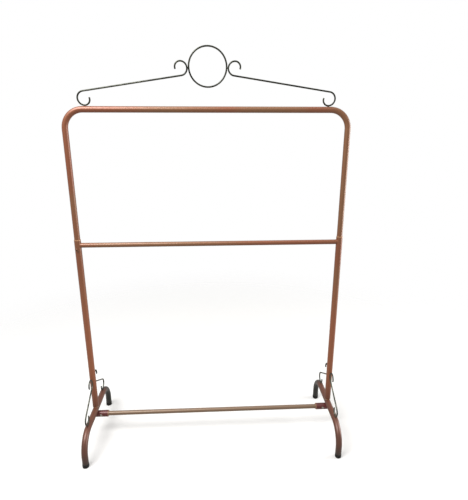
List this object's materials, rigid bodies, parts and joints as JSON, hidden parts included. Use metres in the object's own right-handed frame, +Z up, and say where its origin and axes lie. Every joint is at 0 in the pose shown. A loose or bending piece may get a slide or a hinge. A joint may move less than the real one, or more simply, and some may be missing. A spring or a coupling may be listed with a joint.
{
  "type": "quilt rack",
  "caption": "Free-standing tubular steel quilt rack: telescoping hoop with ring and scroll trim, middle and bottom rails, arched feet with scroll braces.",
  "frame": {"origin": "on the floor, under the middle of the rack", "axes": "+Z up, +X along the rails to the right as seen from the front, the front faces -Y"},
  "size_m": [1.0662, 0.4222, 1.6003],
  "materials": {
    "copper_lacquer": "satin copper lacquer on steel tube",
    "antique_wire": "antique nickel wire, satin",
    "bright_steel": "zinc-plated steel",
    "black_rubber": "matt moulded rubber",
    "black_nylon": "moulded nylon"
  },
  "bodies": {
    "frame": {"bottom_rail": "copper_lacquer", "brace_front_left": "antique_wire", "brace_front_right": "antique_wire", "brace_rear_left": "antique_wire", "brace_rear_right": "antique_wire", "foot_cap_front_left": "black_rubber", "foot_cap_front_right": "black_rubber", "foot_cap_rear_left": "black_rubber", "foot_cap_rear_right": "black_rubber", "foot_tube_left": "copper_lacquer", "foot_tube_right": "copper_lacquer", "middle_rail": "copper_lacquer", "rail_insert_left": "bright_steel", "rail_insert_right": "bright_steel", "rail_peg_left": "bright_steel", "rail_peg_right": "bright_steel", "rail_screw_left": "bright_steel", "rail_screw_right": "bright_steel", "rail_socket_left": "copper_lacquer", "rail_socket_right": "copper_lacquer", "upright_left": "copper_lacquer", "upright_right": "copper_lacquer", "upright_spigot_left": "bright_steel", "upright_spigot_right": "bright_steel"},
    "hoop": {"hoop": "copper_lacquer", "leg_glide_left": "black_nylon", "leg_glide_right": "black_nylon", "ornament_ring": "antique_wire", "ornament_scroll_left": "antique_wire", "ornament_scroll_right": "antique_wire"},
    "lock_screw_left": {"lock_screw_left": "bright_steel"},
    "lock_screw_right": {"lock_screw_right": "bright_steel"}
  },
  "joints": [
    {"name": "hoop_slide", "type": "slide", "parent": "frame", "child": "hoop", "axis": [0, 0, 1], "range_m": [-0.39, 0.22]},
    {"name": "lock_screw_left_turn", "type": "hinge", "parent": "frame", "child": "lock_screw_left", "pos_m": [-0.52, 0, 0.865], "axis": [0, -1, 0], "range_deg": [0, 360]},
    {"name": "lock_screw_right_turn", "type": "hinge", "parent": "frame", "child": "lock_screw_right", "pos_m": [0.52, 0, 0.865], "axis": [0, 1, 0], "range_deg": [0, 360]}
  ]
}
